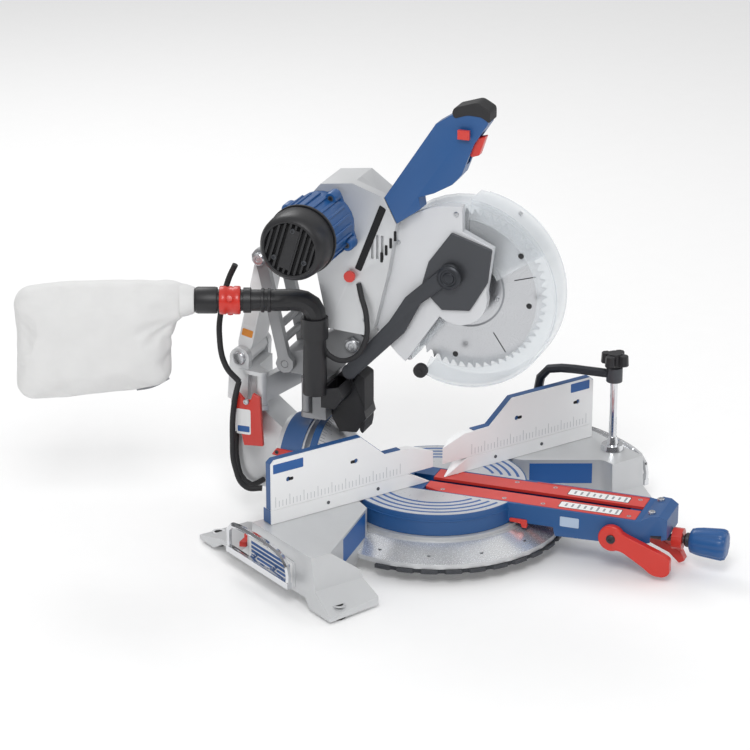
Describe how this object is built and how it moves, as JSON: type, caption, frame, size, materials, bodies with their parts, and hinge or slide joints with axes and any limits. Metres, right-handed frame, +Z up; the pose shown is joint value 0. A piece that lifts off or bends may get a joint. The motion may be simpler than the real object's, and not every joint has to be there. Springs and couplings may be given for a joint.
{
  "type": "sliding miter saw",
  "caption": "Bench miter saw whose head glides on a folding linkage, with turntable, bevelling tower, sliding fences, blade guards and dust bag.",
  "frame": {"origin": "centre of the bounding box at rest, at bench level; the turntable axis stands 109.45 mm to its right", "axes": "+X to the operator's right along the fence, +Y to the rear, +Z up"},
  "size_m": [0.9118, 0.7886, 0.721],
  "materials": {
    "blue_shell": "satin",
    "blue_casting": "satin",
    "red_plastic": "satin",
    "cast_aluminium": "cast, matt",
    "machined_white": "satin",
    "grey_paint": "satin",
    "dark_metal": "matt",
    "black_plastic": "fine texture",
    "rubber": "matt",
    "steel": "brushed",
    "chrome": "polished",
    "clear_plastic": "clear",
    "bag_cloth": "woven",
    "copper": "lacquered windings"
  },
  "bodies": {
    "base": {"base_casting": "cast_aluminium", "detent_plate": "dark_metal", "lower_fence_left": "machined_white", "lower_fence_right": "machined_white", "foot_front_left": "rubber", "foot_front_right": "rubber", "foot_rear_left": "rubber", "foot_rear_right": "rubber"},
    "fence_left": {"upper_fence_left": "machined_white"},
    "fence_right": {"upper_fence_right": "machined_white"},
    "extension_left_body": {"extension_left": "chrome"},
    "extension_right_body": {"extension_right": "chrome"},
    "extension_lock_left_body": {"extension_lock_left": "red_plastic"},
    "extension_lock_right_body": {"extension_lock_right": "red_plastic"},
    "clamp": {"clamp_post": "dark_metal"},
    "clamp_screw": {"clamp_rod": "chrome"},
    "clamp_handle": {"clamp_knob": "black_plastic"},
    "table": {"turntable": "blue_casting", "kerf_insert_left": "red_plastic", "kerf_insert_right": "red_plastic", "pivot_bolt": "steel", "bevel_shaft": "steel"},
    "mitre_lock": {"mitre_knob": "blue_shell"},
    "range_wheel": {"bevel_range_wheel": "red_plastic"},
    "detent": {"detent_lever": "red_plastic"},
    "bevel_lock": {"bevel_lever": "red_plastic"},
    "tower_body": {"tower": "cast_aluminium", "tool_holder": "red_plastic", "power_cord": "rubber"},
    "rear_link_body": {"rear_link": "machined_white", "apex_pin": "steel"},
    "front_link_body": {"front_link": "cast_aluminium"},
    "rear_leaf_body": {"rear_leaf": "cast_aluminium"},
    "front_leaf_body": {"front_leaf": "cast_aluminium"},
    "saddle_body": {"saddle": "cast_aluminium", "chop_pin": "steel", "dust_chute": "black_plastic"},
    "elbow": {"dust_elbow": "black_plastic", "bag_ring": "red_plastic", "dust_bag": "bag_cloth"},
    "guard_arm": {"guard_link": "dark_metal"},
    "head": {"head_casting": "cast_aluminium", "belt_case": "grey_paint", "upper_guard": "clear_plastic", "gear_cover": "dark_metal", "drive_belt": "rubber", "handle": "blue_shell", "grip_pad": "rubber", "motor_housing": "blue_shell", "motor_cap": "black_plastic", "stator": "copper"},
    "trigger_body": {"trigger": "red_plastic"},
    "lock_off_body": {"lock_off": "red_plastic"},
    "spindle_lock_body": {"spindle_lock": "red_plastic"},
    "blade": {"saw_blade": "steel", "spindle": "steel", "arbor_bolt": "steel"},
    "motor_rotor": {"rotor": "steel"},
    "swing_guard": {"lower_guard": "clear_plastic"},
    "roller": {"guard_roller": "rubber"}
  },
  "joints": [
    {"name": "mitre", "type": "hinge", "parent": "base", "child": "table", "pos_m": [0.10945, 0.00016, 0.056], "axis": [0, 0, -1], "range_deg": [-20.1, 81.9]},
    {"name": "bevel", "type": "hinge", "parent": "table", "child": "tower_body", "pos_m": [-0.00498, 0.16419, 0.09], "axis": [0.5721, -0.8202, 0], "range_deg": [-45, 37]},
    {"name": "glide", "type": "hinge", "parent": "tower_body", "child": "rear_link_body", "pos_m": [-0.06906, 0.25605, 0.268], "axis": [0.8202, 0.5721, 0], "range_deg": [-3.17, 39.33]},
    {"name": "glide_apex", "type": "hinge", "parent": "rear_link_body", "child": "front_link_body", "pos_m": [-0.04732, 0.22489, 0.43698], "axis": [0.8202, 0.5721, 0], "range_deg": [-78.76, 6.44]},
    {"name": "glide_saddle", "type": "hinge", "parent": "front_link_body", "child": "saddle_body", "pos_m": [-0.02559, 0.19373, 0.268], "axis": [0.8202, 0.5721, 0], "range_deg": [-3.27, 39.43]},
    {"name": "leaf_rear", "type": "hinge", "parent": "tower_body", "child": "rear_leaf_body", "pos_m": [-0.0848, 0.19995, 0.22], "axis": [0, 0, 1], "range_deg": [-39.43, 3.27]},
    {"name": "leaf_apex", "type": "hinge", "parent": "rear_leaf_body", "child": "front_leaf_body", "pos_m": [0.07553, 0.26548, 0.22], "axis": [0, 0, 1], "range_deg": [-6.44, 78.76]},
    {"name": "chop", "type": "hinge", "parent": "saddle_body", "child": "head", "pos_m": [0.03793, 0.10268, 0.312], "axis": [0.8202, 0.5721, 0], "range_deg": [0, 62]},
    {"name": "guard_swing", "type": "hinge", "parent": "head", "child": "swing_guard", "pos_m": [0.13462, -0.03593, 0.411], "axis": [0.8202, 0.5721, 0], "range_deg": [-145.2, 0.1]},
    {"name": "guard_arm_swing", "type": "hinge", "parent": "saddle_body", "child": "guard_arm", "pos_m": [-0.00258, 0.07686, 0.271], "axis": [0.8202, 0.5721, 0], "range_deg": [-0.1, 58.4]},
    {"name": "blade_spin", "type": "hinge", "parent": "head", "child": "blade", "pos_m": [0.13462, -0.03593, 0.411], "axis": [0.8202, 0.5721, 0], "continuous": true},
    {"name": "motor_spin", "type": "hinge", "parent": "head", "child": "motor_rotor", "pos_m": [-0.0746, 0.07173, 0.511], "axis": [0.8202, 0.5721, 0], "continuous": true},
    {"name": "roller_spin", "type": "hinge", "parent": "swing_guard", "child": "roller", "pos_m": [0.07455, -0.00224, 0.281], "axis": [0.8202, 0.5721, 0], "continuous": true},
    {"name": "mitre_lock_turn", "type": "hinge", "parent": "table", "child": "mitre_lock", "pos_m": [0.34975, -0.3443, 0.05], "axis": [-0.5721, 0.8202, 0], "continuous": true},
    {"name": "range_wheel_turn", "type": "hinge", "parent": "table", "child": "range_wheel", "pos_m": [0.33144, -0.31806, 0.05], "axis": [-0.5721, 0.8202, 0], "range_deg": [-30, 30]},
    {"name": "detent_squeeze", "type": "hinge", "parent": "table", "child": "detent", "pos_m": [0.31792, -0.26897, 0.04], "axis": [-0.8202, -0.5721, 0], "range_deg": [0, 7]},
    {"name": "bevel_lock_swing", "type": "hinge", "parent": "table", "child": "bevel_lock", "pos_m": [0.23566, -0.27514, 0.06], "axis": [-0.8202, -0.5721, 0], "range_deg": [0, 35]},
    {"name": "fence_left_slide", "type": "slide", "parent": "base", "child": "fence_left", "axis": [-1, 0, 0], "range_m": [0, 0.15]},
    {"name": "fence_right_slide", "type": "slide", "parent": "base", "child": "fence_right", "axis": [1, 0, 0], "range_m": [0, 0.15]},
    {"name": "extension_left_slide", "type": "slide", "parent": "base", "child": "extension_left_body", "axis": [-1, 0, 0], "range_m": [0, 0.11]},
    {"name": "extension_right_slide", "type": "slide", "parent": "base", "child": "extension_right_body", "axis": [1, 0, 0], "range_m": [0, 0.11]},
    {"name": "extension_lock_left_turn", "type": "hinge", "parent": "base", "child": "extension_lock_left_body", "pos_m": [-0.19055, 0.07616, 0.04], "axis": [0, 0, -1], "range_deg": [0, 60]},
    {"name": "extension_lock_right_turn", "type": "hinge", "parent": "base", "child": "extension_lock_right_body", "pos_m": [0.40945, 0.07616, 0.04], "axis": [0, 0, 1], "range_deg": [0, 60]},
    {"name": "clamp_turn", "type": "hinge", "parent": "base", "child": "clamp", "pos_m": [0.33745, 0.03816, 0.1], "axis": [0, 0, 1], "range_deg": [-25, 12]},
    {"name": "clamp_lift", "type": "slide", "parent": "clamp", "child": "clamp_screw", "axis": [0, 0, 1], "range_m": [0, 0.05]},
    {"name": "clamp_knob_turn", "type": "hinge", "parent": "clamp_screw", "child": "clamp_handle", "pos_m": [0.41245, -0.05784, 0.24], "axis": [0, 0, 1], "continuous": true},
    {"name": "elbow_swivel", "type": "hinge", "parent": "saddle_body", "child": "elbow", "pos_m": [-0.0535, 0.09742, 0.35], "axis": [0, 0, -1], "range_deg": [-45, 0]},
    {"name": "trigger_pull", "type": "slide", "parent": "head", "child": "trigger_body", "axis": [-0.4855, 0.6959, 0.5291], "range_m": [0, 0.005], "stiffness_N_per_m": 400},
    {"name": "lock_off_push", "type": "slide", "parent": "head", "child": "lock_off_body", "axis": [0.8202, 0.5721, 0], "range_m": [-0.003, 0.003], "stiffness_N_per_m": 400},
    {"name": "spindle_lock_push", "type": "slide", "parent": "head", "child": "spindle_lock_body", "axis": [0.8202, 0.5721, 0], "range_m": [0, 0.004], "stiffness_N_per_m": 400}
  ],
  "couplings": [
    {"joint": "glide_apex", "follows": "glide", "ratio": -2},
    {"joint": "glide_saddle", "follows": "glide", "ratio": 1},
    {"joint": "leaf_rear", "follows": "glide", "ratio": -1},
    {"joint": "leaf_apex", "follows": "glide", "ratio": 2},
    {"joint": "guard_swing", "follows": "chop", "ratio": -2.34},
    {"joint": "guard_arm_swing", "follows": "chop", "ratio": 0.94},
    {"joint": "motor_spin", "follows": "blade_spin", "ratio": 3.4}
  ]
}
